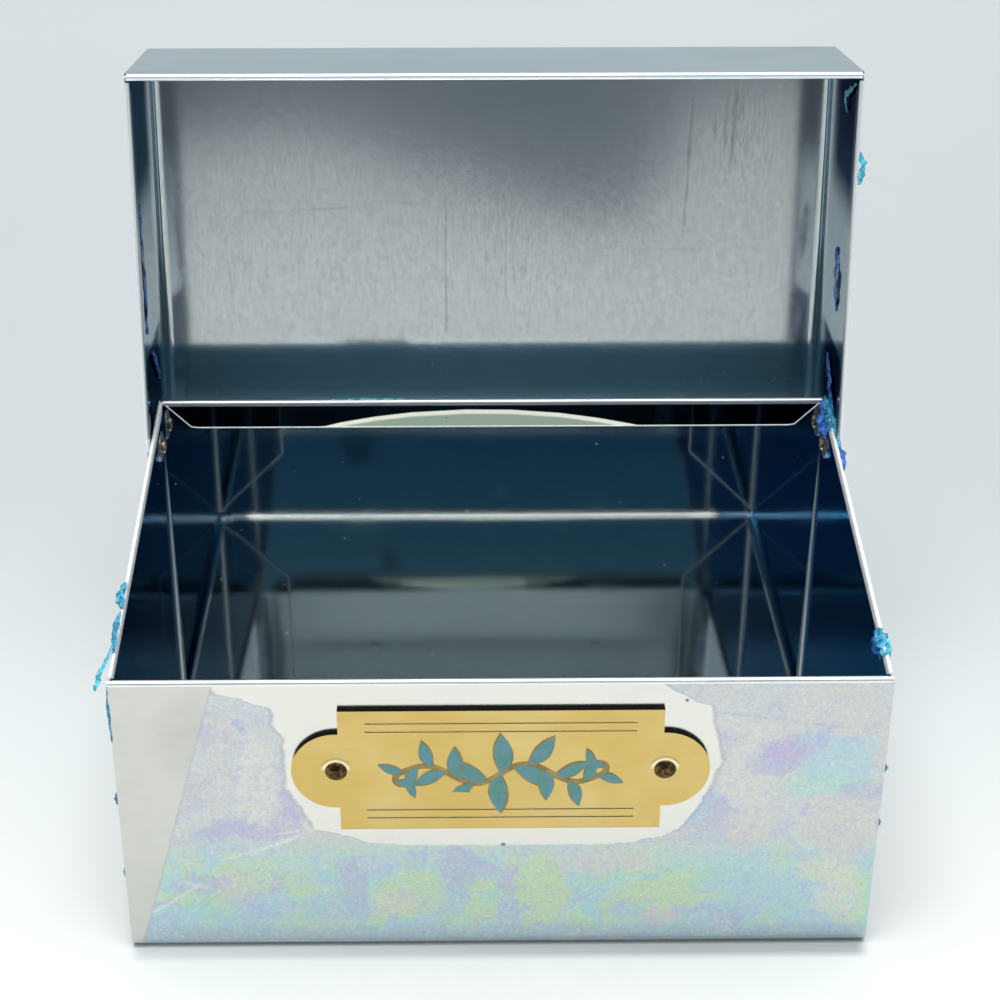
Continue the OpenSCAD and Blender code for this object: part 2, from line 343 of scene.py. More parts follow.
# sheet metal; all places below are in millimetres of the box itself
bareSteel = {
    "worn": (0.66, 0.67, 0.65),
    "rim": (0.93, 0.93, 0.92),
    "inner": (0.58, 0.625, 0.65),
    # painted reflection: the side walls' inner faces are painted dark navy, the left darker than
    # the right, with a navy tint at grazing angles, as the dark room they mirror
    "leftSide": (0.035, 0.075, 0.17),
    "rightSide": (0.12, 0.32, 0.56),
    "grazing": (0.25, 0.42, 0.62),
    # painted highlight: the colour painted on the sheet's rounded edge at the foot of the front and
    # on the upright corners
    "bend": (0.92, 0.91, 0.86),
    "innerRough": 0.04,
    "wave": 0.00005,  # how much the thin sheet bellies, metres
}
filmResidue = {
    # what is left of a protective film: tints of its interference colours on the front
    "haze": (0.66, 0.71, 0.74),
    "greyHaze": (0.69, 0.69, 0.67),
    "clean": (0.88, 0.88, 0.84),
    "lilac": (0.50, 0.54, 0.76),
    "violet": (0.56, 0.50, 0.78),
    "blue": (0.47, 0.62, 0.82),
    "cyan": (0.46, 0.72, 0.80),
    "mint": (0.46, 0.77, 0.66),
    "lime": (0.61, 0.78, 0.48),
    "sand": (0.78, 0.75, 0.64),
    "pearl": (0.75, 0.77, 0.72),
    "pink": (0.72, 0.58, 0.72),
    "foot": (0.46, 0.56, 0.70),
    # painted shadow: a darker grey drawn as a line across the front
    "tear": (0.483, 0.483, 0.469),
    "rough": 0.3,
    # tint, middle across and up, half width and height, strength
    "patches": [
        ("pearl", -44, 39, 4, 11, 0.9), ("violet", -46, 27.5, 9, 2, 0.7),
        ("violet", -38.5, 33, 2, 4, 0.6), ("lilac", -46.8, 51, 1.7, 1.2, 0.8),
        ("lilac", -50.5, 28, 5, 3, 0.6), ("lilac", -56, 15.5, 5, 2.5, 0.7),
        ("pink", -49, 13.5, 4.5, 5, 0.45), ("blue", -44, 8.5, 7, 3, 0.5),
        ("lilac", -40.6, 16.6, 1.6, 2.8, 0.9), ("violet", -41.6, 13.8, 1.2, 1, 0.8),
        ("lilac", -28, 16, 2.4, 5.5, 0.75), ("blue", -15, 21, 3, 3, 0.7),
        ("blue", -30, 10, 7, 3.4, 0.7), ("lilac", -7, 19, 3.6, 4.4, 0.75),
        ("blue", -8.5, 12, 3.2, 4, 0.7), ("violet", 2, 15, 2, 3.6, 0.7),
        ("blue", 2.5, 8, 3.4, 4, 0.8), ("violet", -1.5, 18, 1.4, 1.8, 0.6),
        ("lime", 8, 14, 4.5, 9.5, 0.9), ("lime", -17, 12.5, 7, 5.5, 0.6),
        ("lime", -43, 18, 8, 2.8, 0.5), ("sand", -20, 10.5, 4.5, 3.6, 0.55),
        ("greyHaze", 20, 20.5, 10, 3.2, 0.8), ("lime", 31, 12.5, 11, 3.2, 0.75),
        ("pink", 30, 7.4, 4, 2, 0.8), ("blue", 35.5, 8.2, 3, 1.6, 0.7),
        ("blue", 23, 8.5, 3.4, 2.6, 0.5), ("lilac", 43.5, 6.8, 2.6, 2, 0.8),
        ("blue", 47.5, 8.6, 2.6, 2.2, 0.8), ("cyan", 52, 14, 7, 6, 0.7),
        ("cyan", 45, 20, 6, 4.4, 0.5), ("lilac", 40, 31.5, 8, 4.5, 0.6),
        ("cyan", 33.5, 31.5, 4.5, 3, 0.7), ("pink", 45.5, 24.5, 3, 3, 0.5),
        ("pearl", 45.5, 40, 5, 8, 0.7), ("sand", 46, 29, 4.6, 3.8, 0.6),
        ("violet", 53.5, 45.5, 7, 3, 0.9), ("blue", 57, 47.8, 3.4, 2, 0.7),
        ("lilac", 49, 42, 4, 2.6, 0.7), ("cyan", 61, 42, 7, 4, 0.8),
        ("mint", 59.5, 37.5, 9, 2.2, 0.8), ("lilac", 65.5, 36, 5, 2.4, 0.6),
        ("cyan", 64.5, 46.5, 5, 2.4, 0.6), ("greyHaze", 63.5, 28, 8, 6.5, 0.9),
        ("sand", 61.5, 18, 5.4, 3.6, 0.7), ("pearl", 63, 11, 4.4, 4.6, 0.7),
        ("greyHaze", 60, 55, 9.5, 4.4, 0.85), ("pearl", 42, 50.5, 7, 2.2, 0.5),
        ("greyHaze", 24, 57.5, 6, 1.6, 0.5),
    ],
    # tint, from, to, half width, how far it wanders, strength
    "creases": [
        ("clean", (-66, 8.2), (-56, 15.4), 0.5, 0, 0.7),
        ("clean", (-60.5, 16.2), (-54, 14.5), 0.8, 0, 0.4),
        ("clean", (-51, 21.5), (-40, 25), 0.5, 3, 0.6),
        ("clean", (-46, 22.5), (-34, 28), 0.6, 3, 0.6),
        ("clean", (-42, 26.5), (-31, 29.5), 0.5, 3, 0.6),
        ("greyHaze", (60, 46.5), (51.5, 36.5), 0.45, 0, 0.35),
        ("tear", (39, 54), (62, 50.4), 0.35, 0, 0.4),
    ],
    # where the bare corner at the left ends, by height
    "bareEdge": [(0, -68.2), (59.8, -51.6), (61, -51.2)],
    # where the film has come away round the plate: height, left edge, right edge
    "peeled": [(23.5, -3, -1), (24.2, -16, 20), (24.9, -24, 25), (26.8, -29.6, 31.5),
               (28.5, -34.2, 33.6), (32.2, -36.2, 35.8), (37.3, -39.1, 38.4),
               (43.4, -39.1, 40.2), (48.9, -39, 38.9), (51.1, -41, 38.5), (55.5, -40.8, 37.6),
               (56.1, -43.6, 35), (57.6, -46.6, 33), (58.6, -51, 31), (61, -53, 28)],
}


def spot(u, v, centre, size, soft=0.5):
    # 1 inside an oval, fading to 0 round it
    a = (u - centre[0]) / size[0]
    b = (v - centre[1]) / size[1]
    return ((a * a + b * b) ** 0.5).rise(1 + soft, 1 - soft)


def stroke(u, v, start, end, width, soft=1):
    # a thin line between two places, fading at its ends
    du, dv = end[0] - start[0], end[1] - start[1]
    length = math.hypot(du, dv)
    du, dv = du / length, dv / length
    along = (u - start[0]) * du + (v - start[1]) * dv
    aside = abs((u - start[0]) * dv - (v - start[1]) * du)
    return aside.rise(width, width * 0.2) * along.band(0, length, soft)


def specks(place, cell, size, share):
    # small round flecks, one in a share of the cells
    away = place.add("ShaderNodeTexVoronoi", None, {"Vector": place, "Scale": 1 / cell},
                     out="Distance")
    chosen = parts(Wire(place.tree, away.socket.node.outputs["Color"]))[0]
    return away.rise(size / cell, size / cell * 0.5) * chosen.rise(1 - share, 1.02 - share)


def bumped(height):
    # heights are in metres
    return height.add("ShaderNodeBump", None, {"Height": height, "Strength": 1, "Distance": 1})


def metal(place, colour, rough, height=None, grazing=(1, 1, 1)):
    sheen = place.add("ShaderNodeBsdfPrincipled")
    shader = sheen.socket.node
    feed(shader, BaseColor=colour, Metallic=1, Roughness=rough, SpecularTint=grazing)
    if height is not None:
        feed(shader, Normal=bumped(height))
    return sheen


def frontFilm(place, x, z):
    # the front's film residue; returns its colour, how hazed it is and its relief
    film = filmResidue
    tangle = noise(place, 0.11, 4, 0.6)
    curdle = noise(stretched(place, 1, 1, 1, (5, 0, 50)), 0.55, 5, 0.7)
    drift = noise(stretched(place, 1, 1, 1, (40, 0, 7)), 0.13, 4, 0.6)
    u = x + (tangle - 0.5) * 8 + (curdle - 0.5) * 9
    v = z + (drift - 0.5) * 7 + (curdle - 0.5) * 7
    fine = noise(place, 1.3, 5, 0.75)
    clouds = noise(stretched(place, 1, 1, 1.3, (9, 3, 21)), 0.09, 4, 0.6)
    veil = noise(stretched(place, 1, 1, 1, (71, 0, 5)), 0.16, 3, 0.6)
    colour = blend(clouds.rise(0.4, 0.6), film["haze"], film["greyHaze"])
    colour = blend(veil.rise(0.5, 0.64) * 0.5, colour, film["lilac"])
    wet = v.rise(27, 22.5)  # the strongly coloured lower part
    lower = blend(clouds.rise(0.44, 0.54), film["cyan"], film["mint"])
    veil = veil + (curdle - 0.5) * 0.35
    lower = blend(veil.rise(0.5, 0.57) * 0.75, lower, film["lime"])
    lower = blend(veil.rise(0.45, 0.38) * 0.6, lower, film["blue"])
    lower = blend(v.rise(17, 24) * 0.55, lower, film["haze"])
    colour = blend(wet, colour, lower)
    for tint, across, up, wide, tall, strength in film["patches"]:
        colour = blend(spot(u, v, (across, up), (wide, tall), 0.22) * strength,
                       colour, film[tint])
    foot = z.rise(6.2, 3.6)
    colour = blend(foot * 0.75, colour, film["foot"])
    # whitish creases, the edges of torn film, and one painted shadow line
    edge = x + (noise(place, 0.5, 3) - 0.5) * 1.2
    for tint, start, end, width, wander, strength in film["creases"]:
        height = z + (veil - 0.5) * wander if wander else z
        colour = blend(stroke(edge, height, start, end, width) * strength, colour, film[tint])
    colour = coats(
        colour,
        (fine.rise(0.48, 0.66) * 0.3, film["clean"]),
        (fine.rise(0.5, 0.36) * 0.3, (0.44, 0.52, 0.62)),
        (curdle.rise(0.54, 0.59) * 0.42 * wet, film["mint"]),
        (curdle.rise(0.46, 0.41) * 0.34, film["lilac"]))
    # clean steel round the plate
    shake = (noise(place, 0.45, 4, 0.6) - 0.5) * 2.4
    left = curve(z + shake * 0.4, [(h, l) for h, l, r in film["peeled"]])
    right = curve(z + shake * 0.4, [(h, r) for h, l, r in film["peeled"]])
    inFromLeft = x - left + shake
    inFromRight = right - x + shake
    inside = inFromLeft.rise(-0.4, 0.5) * inFromRight.rise(-0.4, 0.5)
    inside = inside * (z + shake * 0.3).rise(24, 24.6)
    rim = inFromLeft.band(-0.7, 0, 0.25).atLeast(inFromRight.band(-0.7, 0, 0.25))
    # painted highlight and painted shade on the wrinkles: a pale line on one side of each and a
    # dark line on the other
    ripple = noise(stretched(place, 1, 1, 1, (17, 0, 3)), 0.22, 5, 0.7, 0.8)
    shiver = noise(stretched(place, 1, 1, 1.2, (2, 0, 31)), 0.6, 4, 0.7, 0.6)
    pale = (ripple.band(0.485, 0.506, 0.008) * 0.42).atLeast(shiver.band(0.485, 0.505, 0.01) * 0.24)
    dark = (ripple.band(0.51, 0.53, 0.008) * 0.36).atLeast(shiver.band(0.51, 0.535, 0.012) * 0.22)
    clean = blend(clouds.rise(0.5, 0.75) * 0.2, film["clean"], film["haze"])
    colour = coats(colour, (pale, (0.86, 0.89, 0.87)), (dark, (0.40, 0.45, 0.62)), (inside, clean),
                   (rim * z.rise(23.5, 25.5) * 0.4, (0.42, 0.45, 0.56)))
    # bare corner at the left, with a greasy smudge
    past = x - curve(z, film["bareEdge"])
    bare = past.rise(0.4, -0.3)
    steel = coats(bareSteel["worn"],
                  (spot(u, z, (-56.5, 49), (4, 7), 0.9) * 0.35, (0.45, 0.44, 0.43)),
                  (clouds.rise(0.35, 0.65) * 0.22, film["clean"]),
                  ((fine - 0.5) * 0.1 + 0.05, film["clean"]))
    fleck = spot(x, z, (0.6, 24.4), (0.45, 0.4), 0.3)
    fleck = fleck.atLeast(spot(x, z, (33.2, 56.6), (0.35, 0.35), 0.3))
    colour = coats(colour, (bare, steel), (past.band(-0.1, 0.35, 0.25) * 0.3, (0.40, 0.43, 0.47)),
                   (fleck * 0.8, (0.15, 0.13, 0.12)))
    colour = blend(1, colour, (0.875, 0.85, 0.835), "MULTIPLY")
    return colour, 1 - inside.atLeast(bare), fine * 0.00001


def bodySheet():
    material, shader, place = fineMaterial("bodySheet")
    material.node_tree.nodes.remove(shader)
    x, y, z = parts(place)
    front = y.rise(0.25 - box["halfDeep"], 0.15 - box["halfDeep"])
    rimHeight = (y + box["halfDeep"]) * box["rimSlope"] + box["rimFront"]
    rim = (z - rimHeight).rise(-0.95, -0.75)
    within = abs(x).rise(box["halfWide"] - 0.25, box["halfWide"] - 0.35)
    within = within * abs(y).rise(box["halfDeep"] - 0.25, box["halfDeep"] - 0.35)
    within = within * z.rise(0.3, 0.36)
    cloud = noise(place, 0.05, 4, 0.6)
    waves = noise(place, 0.022, 1) * bareSteel["wave"]
    worn = noise(stretched(place, 0.2, 1, 1), 0.6, 3)
    rolled = blend(worn.rise(0.45, 0.7) * 0.3, bareSteel["rim"], (0.72, 0.74, 0.75))

    # inside
    dust = specks(place, 4.5, 0.28, 0.22)
    dust = dust.atLeast(specks(stretched(place, 1, 1, 1, (3, 8, 5)), 1.7, 0.1, 0.1))
    scuff = noise(place, 0.9, 3, 0.7)
    streaks = noise(stretched(place, 1.6, 1, 0.12), 0.9, 2)
    streaks = streaks * spot(x, z, (-28.5, 64.5), (3.2, 4.6), 0.5)
    stain = spot(x + (cloud - 0.5) * 3, z, (2.2, 53.1), (1.3, 1.9), 0.5) * y.rise(38, 40)
    # painted highlight: along the foot of the front, inside, the sheet is painted bright
    bend = z.rise(2.2, 1.7) * y.rise(-39, -39.6)
    # painted highlight: the upright corners are painted bright in a band that widens towards the
    # bottom
    highlightWidth = curve(z, box["foldOpen"])
    corner = (abs(x) + abs(y) - 110.3 + highlightWidth).rise(-0.15, 0.15) * z.rise(1.5, 2.2)
    # painted shade and painted highlight: the hem along the back top is painted dark, darkest above
    # a line that rises in the middle, with a bright band painted just under that line and a small
    # step in the bump along it
    highlightLine = curve(x, box["buckle"])
    onHem = y.rise(40.6, 40.5) * y.rise(40.05, 40.1) * z.rise(69.2, 69.4)
    under = highlightLine - z
    hem = blend(under.rise(-0.1, 0.15), (0.03, 0.06, 0.09), (0.34, 0.42, 0.34))
    inner = coats(
        bareSteel["inner"],
        (cloud.rise(0.4, 0.7) * 0.35, (0.52, 0.62, 0.62)),
        (scuff.rise(0.52, 0.7) * 0.3, (0.78, 0.82, 0.82)),
        (streaks * y.rise(38, 40) * 0.8, (0.10, 0.14, 0.14)),
        (stain * 0.6, (0.85, 0.88, 0.86)),
        (dust * 0.55, (0.92, 0.94, 0.93)),
        (bend.atLeast(corner), bareSteel["bend"]),
        (onHem, hem),
        (onHem * under.band(0, 1, 0.3), (0.95, 0.93, 0.80)),
        (rim * 0.7, rolled))
    rough = coats(grey(bareSteel["innerRough"]), (cloud.rise(0.5, 0.75) * 0.1, grey(0.3)),
                  (dust.atLeast(corner * 0.6), grey(0.55)), (rim, grey(0.42)))
    inside = metal(place, inner, rough, waves + under.atLeast(0) * onHem * 0.0002)
    # painted reflection: the inner faces of the side walls get the dark navy colours in place of
    # the bare steel
    shadedFlank = blend(x.rise(-1, 1), bareSteel["leftSide"], bareSteel["rightSide"])
    shadedFlank = blend(dust * 0.55, shadedFlank, (0.92, 0.94, 0.93))
    shadedFlank = metal(place, shadedFlank, bareSteel["innerRough"], waves, bareSteel["grazing"])
    lip = (z - rimHeight).rise(-1.9, -1.6) * abs(x).rise(68.8, 68.95) * abs(y).rise(40.6, 40.2)
    inside = layered(abs(x).rise(68.9, 69.05) * (1 - corner), inside, shadedFlank)
    bright = metal(place, blend(worn.rise(0.45, 0.7) * 0.4, grey(0.98), grey(0.8)), 0.75)

    # outside, with the film's residue on the front
    grain = noise(stretched(place, 1, 1, 14), 0.35, 3, 0.6)
    side = blend(cloud.rise(0.35, 0.7), (0.66, 0.67, 0.68), (0.56, 0.59, 0.62))
    side = blend(grain.rise(0.6, 0.75) * 0.25, side, (0.45, 0.47, 0.50))
    side = blend(rim, side, rolled)
    rough = blend(cloud.rise(0.45, 0.75) * 0.3, grey(0.16), grey(0.4))
    rough = blend(rim, rough, grey(0.42))
    outside = metal(place, side, rough, waves + grain * 0.0000006)
    film, hazed, relief = frontFilm(place, x, z)
    film = blend(rim, film, rolled)
    rough = blend(hazed, grey(0.2), grey(filmResidue["rough"]))
    rough = blend(rim, rough, grey(0.42))
    face = metal(place, film, rough, relief)
    showSurface(layered(lip, layered(front, layered(within, outside, inside), face), bright))
    return material


lidFinish = {
    "panel": (0.62, 0.655, 0.65),
    "skirt": (0.47, 0.565, 0.62),
    # painted shade: the skirts' inner faces are painted dark bluish grey
    "innerSkirt": (0.34, 0.44, 0.52),
    # painted reflection: dark navy painted on the side walls' inner faces, and a navy tint at
    # grazing angles
    "innerNavy": (0.02, 0.05, 0.09),
    "grazing": (0.08, 0.20, 0.32),
    "rough": 0.10,
    "scratches": [  # across and up with the lid open: from, to, width, darkness
        ((-9.8, 111), (-9.8, 81), 0.28, 0.42), ((42.2, 133), (41.6, 118), 0.7, 0.85),
        ((41.7, 119), (41, 103), 0.4, 0.45), ((-50, 107), (-27, 108.2), 0.22, 0.3),
        ((33, 98.8), (47, 98.8), 0.22, 0.35), ((-22, 109), (-14, 109), 0.2, 0.3),
        ((49.4, 134), (49.2, 121), 0.5, 0.4), ((51.4, 135), (50.6, 117), 0.6, 0.5),
        ((47.2, 131), (47, 123), 0.4, 0.3), ((-57, 101), (-55.4, 84), 0.2, 0.22),
        ((-37.5, 97), (-37, 84), 0.2, 0.2), ((3, 112), (3, 88), 0.25, 0.22),
        ((4.6, 110), (4.8, 90), 0.2, 0.2), ((-1.5, 108), (-1.2, 92), 0.2, 0.16),
    ],
}


# the shut lid: its panel's inner face, its rim's edge, and its outer faces
lid = {"panel": 92.9, "rim": 58.3, "halfWide": 71.1, "front": -42.94, "back": 43.12}
# where the lid turns, and how far it swings from open to shut
hinge = {"deep": 35.7, "high": 67.487, "swing": 98.4}


def lidSheet():
    material, shader, place = fineMaterial("lidSheet")
    x, y, z = parts(place)
    # how far a place lies from the panel's inner face, and from the rim's plane
    swing = math.radians(hinge["swing"])
    behind, above = y - hinge["deep"], z - hinge["high"]
    depth = behind * math.sin(swing) + above * math.cos(swing) + hinge["high"]
    frontToBack = behind * math.cos(swing) - above * math.sin(swing) + hinge["deep"]
    panelFace, wall = lid["panel"], lid["halfWide"]
    onPanel = depth.rise(panelFace - 0.6, panelFace - 0.2)
    onPanel = onPanel * depth.rise(panelFace + 0.3, panelFace + 0.2)
    outside = abs(x).rise(wall - 0.3, wall - 0.2)
    outside = outside.atLeast(depth.rise(panelFace + 0.2, panelFace + 0.3))
    outside = outside.atLeast(frontToBack.rise(lid["front"] + 0.24, lid["front"] + 0.14))
    outside = outside.atLeast(frontToBack.rise(lid["back"] - 0.22, lid["back"] - 0.12))
    rim = depth.rise(lid["rim"] + 0.95, lid["rim"] + 0.75)
    grain = noise(stretched(place, 1, 1, 0.04), 2.0, 4, 0.75)
    streaky = noise(stretched(place, 1, 1, 0.05, (13, 0, 2)), 0.35, 3, 0.6)
    fine = noise(place, 0.9, 4, 0.65)
    cloud = noise(place, 0.035, 4, 0.6)
    panel = coats(
        lidFinish["panel"],
        (cloud.rise(0.4, 0.7) * 0.5, (0.56, 0.575, 0.575)),
        (grain.rise(0.42, 0.62) * 0.6, (0.43, 0.455, 0.45)),
        (streaky.rise(0.45, 0.7) * 0.3, (0.50, 0.515, 0.51)),
        (fine.rise(0.5, 0.64) * 0.45, (0.74, 0.75, 0.74)),
        (fine.rise(0.48, 0.36) * 0.3, (0.42, 0.45, 0.45)))
    wear = grain.rise(0.35, 0.75) * 0.6 + 0.4
    marks = None
    for start, end, width, dark in lidFinish["scratches"]:
        mark = stroke(x + (streaky - 0.5) * 0.5, z, start, end, width, 2.5) * wear * dark
        marks = mark if marks is None else marks.atLeast(mark)
    smudge = spot(x, z, (51, 124), (7, 9), 0.8) * grain.rise(0.5, 0.75) * 0.45
    bundle = spot(x, z, (4, 98), (9, 15), 0.6) * grain.rise(0.56, 0.72) * 0.35
    marks = marks.atLeast(smudge).atLeast(bundle)
    panel = blend(marks, panel, (0.16, 0.145, 0.12))
    # painted shade and painted reflection: the skirts' inner faces are painted dark bluish, and the
    # front skirt near white towards the top of the open lid, as the room they mirror
    inner = blend(cloud.rise(0.4, 0.7) * 0.4, lidFinish["innerSkirt"], (0.36, 0.50, 0.56))
    ends = abs(x).rise(70, 70.3)
    shady = z.rise(112, 124).atLeast(z.rise(88.5, 86.5)) * ends * depth.rise(90, 78)
    inner = blend(z.rise(100, 120) * (1 - ends), inner, (0.84, 0.84, 0.83))
    outer = blend(cloud.rise(0.35, 0.7), lidFinish["skirt"], (0.42, 0.51, 0.555))
    colour = blend(onPanel, inner, panel)
    colour = blend(outside, colour, outer)
    dust = specks(place, 5, 0.25, 0.2)
    colour = blend(dust * 0.3, colour, (0.9, 0.9, 0.9))
    colour = blend(rim, colour, bareSteel["rim"])
    rough = coats(grey(0.06), (onPanel, grey(lidFinish["rough"])), (marks, grey(0.45)),
                  ((fine - 0.5) * 0.3 + 0.1, grey(0.3)), (rim, grey(0.42)))
    feed(shader, BaseColor=colour, Metallic=1, Roughness=rough)
    waves = noise(place, 0.02, 1) * bareSteel["wave"] * 1.4
    feed(shader, Normal=bumped(waves + grain * 0.0000012 - marks * 0.000004))
    hazeTint = blend(onPanel * z.rise(77.5, 79.5), (0.34, 0.72, 0.92), (0.76, 0.77, 0.77))
    # a wide soft gloss under the sharp one, as on lightly hazed metal
    soft = metal(place, hazeTint, 0.5)
    lit = layered(onPanel * 0.19 + 0.07, Wire(place.tree, shader.outputs[0]), soft)
    # painted reflection: parts of the side walls' inner faces are painted dark navy, with a navy
    # tint at grazing angles, for the dark room they mirror
    unlit = metal(place, lidFinish["innerNavy"], 0.1, None, lidFinish["grazing"])
    walls = abs(x).rise(wall - 0.25, wall - 0.3)
    walls = walls * frontToBack.rise(lid["front"] + 0.44, lid["front"] + 0.54) * (1 - rim)
    showSurface(layered(shady * walls * 0.93, lit, unlit))
    return material


cover("body_shell", bodySheet())
cover("lid_shell", lidSheet())
print("sheet metal finished")


brass = {
    "colour": (0.67, 0.475, 0.155),
    "pale": (0.72, 0.55, 0.235),
    "groove": (1.0, 0.84, 0.5),
    "pin": (29.8, 42.1),  # across and up, millimetres
    "rough": 0.34,
}


def plateBrass():
    material, shader, place = fineMaterial("satinBrass")
    x, y, z = parts(place)
    grain = noise(stretched(place, 0.04, 1, 1), 3.2, 3, 0.6)
    cloud = noise(place, 0.06, 3, 0.6)
    pitting = specks(place, 1.6, 0.12, 0.12)
    sunk = y.rise(-42.47, -42.42)
    # round each pin, where the plate is dished, a pale ring is painted on its upper half as a
    # highlight and a dark ring just outside it as shade
    aside, above = abs(x) - brass["pin"][0], z - brass["pin"][1]
    away = (aside * aside + above * above) ** 0.5
    facing = Wire(place.tree, place.tree.nodes["Texture Coordinate"].outputs["Normal"])
    blackened = parts(facing)[2].rise(0.25, 0.5)
    colour = coats(
        brass["colour"],
        (cloud.rise(0.35, 0.7), brass["pale"]),
        ((grain - 0.5) * 0.5 + 0.2, (0.58, 0.41, 0.125)),
        (abs(x).rise(35, 38) * 0.35, (0.62, 0.43, 0.12)),
        (spot(x, z, (-33, 53.8), (4, 0.9), 0.8) * 0.45, (0.35, 0.24, 0.10)),
        (pitting * 0.5, (0.42, 0.31, 0.12)),
        (z.rise(29.6, 28.95) * 0.4, (0.52, 0.40, 0.16)),
        (sunk * 0.85, brass["groove"]),
        # painted highlight on the upper half round each pin, then painted shade just outside it
        (away.band(2.1, 2.6, 0.2) * z.rise(42, 43) * 0.7, (1, 0.95, 0.78)),
        (away.band(2.55, 3.0, 0.2) * z.rise(43, 44) * 0.5, (0.35, 0.24, 0.09)),
        (blackened, (0.003, 0.003, 0.003)))
    rough = (grain - 0.5) * 0.2 + brass["rough"] + sunk * 0.45 + blackened * 0.4
    feed(shader, BaseColor=colour, Metallic=1 - blackened * 0.95, Roughness=rough,
         SpecularIORLevel=0.2)
    feed(shader, Normal=bumped(grain * 0.0000022 + cloud * 0.00001))
    return material


def agedMetal(name, dark, light, rough, size):
    material, shader, place = fineMaterial(name)
    patina = noise(place, size, 4, 0.65)
    colour = blend(patina.rise(0.4, 0.62), dark, light)
    # ends clenched inside the box are ground back to the bare sheet
    ground = parts(place)[1].band(-41.3, -40, 0.05)
    colour = blend(ground, colour, bareSteel["inner"])
    rough = (patina * 0.25 + rough) * (1 - ground) + 0.04
    feed(shader, BaseColor=colour, Metallic=1, Roughness=rough)
    feed(shader, Normal=bumped(patina * 0.00005))
    return material


cover("nameplate", plateBrass())
pinBronze = agedMetal("pinBronze", (0.035, 0.022, 0.010), (0.17, 0.105, 0.04), 0.14, 1.3)
rivetSteel = agedMetal("rivetMetal", (0.30, 0.24, 0.16), (0.62, 0.52, 0.36), 0.25, 1.3)
washerSteel = agedMetal("washerSteel", (0.36, 0.37, 0.38), (0.62, 0.63, 0.64), 0.3, 1.5)
for side in ("left", "right"):
    cover("nameplate_pin_" + side, pinBronze)
    cover("pivot_rivet_" + side, rivetSteel)
    cover("rivet_washer_" + side, washerSteel)
print("brass and rivets finished")


def nodeTree(name, inputs):
    # a tree with named inputs; returns it, a wire for each input and each input's identifier
    tree = bpy.data.node_groups.new(name, "GeometryNodeTree")
    tree.interface.new_socket("Geometry", in_out="INPUT", socket_type="NodeSocketGeometry")
    keys = {}
    for label, value in inputs.items():
        kind = "NodeSocketInt" if isinstance(value, int) else "NodeSocketFloat"
        socket = tree.interface.new_socket(label, in_out="INPUT", socket_type=kind)
        socket.default_value = value
        keys[label] = socket.identifier
    tree.interface.new_socket("Geometry", in_out="OUTPUT", socket_type="NodeSocketGeometry")
    start = Wire(tree).add("NodeGroupInput").socket.node
    wires = {label: Wire(tree, start.outputs[label]) for label in ("Geometry", *inputs)}
    return tree, wires, keys


def endTree(geometry, material):
    real = geometry.add("GeometryNodeRealizeInstances", None, {0: geometry})
    painted = real.add("GeometryNodeSetMaterial", None, {"Geometry": real, "Material": material})
    end = geometry.tree.nodes.new("NodeGroupOutput")
    geometry.tree.links.new(painted.socket, end.inputs["Geometry"])


def grow(name, source, tree, keys, values):
    # runs the tree on a mesh of lines and keeps the result as a plain mesh
    holder = newPiece(name + "Lines", source)
    modifier = holder.modifiers.new("grow", "NODES")
    modifier.node_group = tree
    for label, value in values.items():
        modifier[keys[label]] = value
    ready = bpy.context.evaluated_depsgraph_get()
    mesh = bpy.data.meshes.new_from_object(holder.evaluated_get(ready))
    bpy.data.objects.remove(holder)
    mesh.name = name
    return newPiece(name, mesh)


def linesMesh(name, runs):
    # runs of points in millimetres
    points, edges = [], []
    for run in runs:
        first = len(points)
        points += [tuple(c * millimetre for c in point) for point in run]
        edges += [(first + i, first + i + 1) for i in range(len(run) - 1)]
    mesh = bpy.data.meshes.new(name)
    mesh.from_pydata(points, edges, [])
    return mesh


def onLid(x, y, z):
    # a place on the shut lid, as it lies with the lid open
    swing = math.radians(-hinge["swing"])
    behind, above = y - hinge["deep"], z - hinge["high"]
    return (x, hinge["deep"] + behind * math.cos(swing) - above * math.sin(swing),
            hinge["high"] + behind * math.sin(swing) + above * math.cos(swing))


# the bright burr along the shorn edges
burr = {
    "radius": 0.17,
    "step": 1.4,
    "colour": (0.80, 0.80, 0.79),
    "rough": 0.5,
    # edges of the right half; the left half's mirror them
    "frontTab": [(69.3, -40.72, 2.2), (52.5, -40.72, 19), (52.5, -40.72, 59.9)],
    "lidHem": [(70.45, -41.2, 58.8), (70.45, -38.8, 61.3), (70.45, 31.3, 61.3),
               (70.45, 33.7, 58.9)],
    # the hems in front and at the back: across and above their foot, then where the foot is
    "endHem": [(-68.4, 5.2), (-63.2, 0), (63.2, 0), (68.4, 5.2)],
    "endHemFoot": [(-40.2, 55), (40.2, 69.5)],
}


def burrTree(material):
    tree, wires, keys = nodeTree("burrAlongEdge", {"Radius": 0.0002, "Step": 0.001})
    line = wires["Geometry"].add("GeometryNodeMeshToCurve", None, {"Mesh": wires["Geometry"]})
    line = line.add("GeometryNodeResampleCurve", {"mode": "LENGTH"},
                    {"Curve": line, "Length": wires["Step"]})
    place = line.add("GeometryNodeInputPosition")
    uneven = noise(place, 900, 1) * 0.7 + 0.6
    line = line.add("GeometryNodeSetCurveRadius", None, {"Curve": line, "Radius": uneven})
    ring = line.add("GeometryNodeCurvePrimitiveCircle", None,
                    {"Resolution": 6, "Radius": wires["Radius"]})
    bead = line.add("GeometryNodeCurveToMesh", None,
                    {"Curve": line, "Profile Curve": ring, "Fill Caps": True})
    endTree(bead, material)
    return tree, keys


